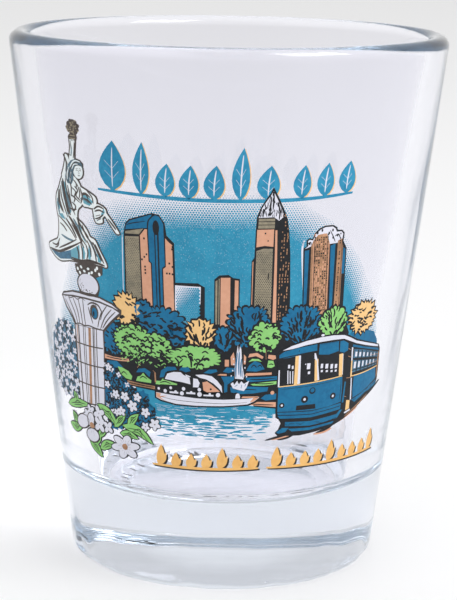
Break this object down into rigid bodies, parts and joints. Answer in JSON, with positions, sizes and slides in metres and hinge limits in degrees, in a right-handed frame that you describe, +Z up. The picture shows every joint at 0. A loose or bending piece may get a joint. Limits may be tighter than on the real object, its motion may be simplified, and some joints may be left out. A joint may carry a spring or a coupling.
{
  "type": "shot glass",
  "caption": "Small tapered drinking glass with a thick solid foot and a fired enamel city picture on its front.",
  "frame": {"origin": "middle of the foot, on the plane the glass stands on", "axes": "+Z up the axis of the glass to the rim, -Y towards the printed front, +X to the right of the picture as it is seen"},
  "size_m": [0.049, 0.049, 0.06],
  "materials": {
    "clear_glass": "clear pressed soda-lime glass, polished, with a faint cool tint",
    "sky_enamel": "fired enamel, sky blue, printed as a dot screen where it fades",
    "blue_enamel": "fired enamel, deep blue, satin gloss",
    "green_enamel": "fired enamel, leaf green, satin gloss",
    "straw_enamel": "fired enamel, straw yellow, satin gloss",
    "peach_enamel": "fired enamel, peach, satin gloss",
    "taupe_enamel": "fired enamel, grey brown, satin gloss",
    "copper_enamel": "fired enamel, copper brown, satin gloss",
    "white_enamel": "fired enamel, cool white, satin gloss",
    "black_enamel": "fired enamel, soft black line colour, satin gloss",
    "gold_enamel": "fired enamel, warm gold, satin gloss"
  },
  "bodies": {
    "root": {"arched_tower_face": "taupe_enamel", "arched_tower_front": "peach_enamel", "arched_tower_shadow": "black_enamel", "arched_tower_side": "peach_enamel", "arched_tower_vault": "blue_enamel", "blossom_left": "white_enamel", "blossom_right": "white_enamel", "blue_tree_far_left": "blue_enamel", "blue_tree_left": "blue_enamel", "blue_tree_middle": "blue_enamel", "blue_tree_right": "blue_enamel", "blue_vine": "sky_enamel", "boat_canopy_left": "white_enamel", "boat_canopy_right": "white_enamel", "boat_hull": "white_enamel", "column_capital": "white_enamel", "column_globe": "white_enamel", "column_shaft": "white_enamel", "domed_tower_dome": "white_enamel", "domed_tower_front": "copper_enamel", "domed_tower_left_bay": "blue_enamel", "domed_tower_middle_bay": "blue_enamel", "domed_tower_shadow": "black_enamel", "fountain_spray": "white_enamel", "glass_body": "clear_glass", "glazed_block_pane": "white_enamel", "glazed_block_shadow": "black_enamel", "gold_vine_left": "gold_enamel", "gold_vine_right": "gold_enamel", "green_tree_centre": "green_enamel", "green_tree_left": "green_enamel", "green_tree_middle": "green_enamel", "green_tree_right": "green_enamel", "hedge_left": "blue_enamel", "hedge_right": "blue_enamel", "lake_tint": "sky_enamel", "leaf_spray_left": "green_enamel", "leaf_spray_right": "green_enamel", "low_block_front": "peach_enamel", "low_block_shadow": "black_enamel", "shrub": "green_enamel", "sky_tint": "sky_enamel", "spired_tower_crown": "white_enamel", "spired_tower_face": "taupe_enamel", "spired_tower_gallery": "peach_enamel", "spired_tower_shadow": "black_enamel", "spired_tower_strip": "peach_enamel", "statue_figure": "white_enamel", "statue_torch": "copper_enamel", "straw_tree_left": "straw_enamel", "straw_tree_middle": "straw_enamel", "straw_tree_right": "straw_enamel", "tram_front_panel": "blue_enamel", "tram_roof": "white_enamel", "tram_shadow": "black_enamel", "tram_side_panel": "blue_enamel", "tram_skirt": "blue_enamel", "tree_line_shadow": "black_enamel"}
  },
  "joints": []
}
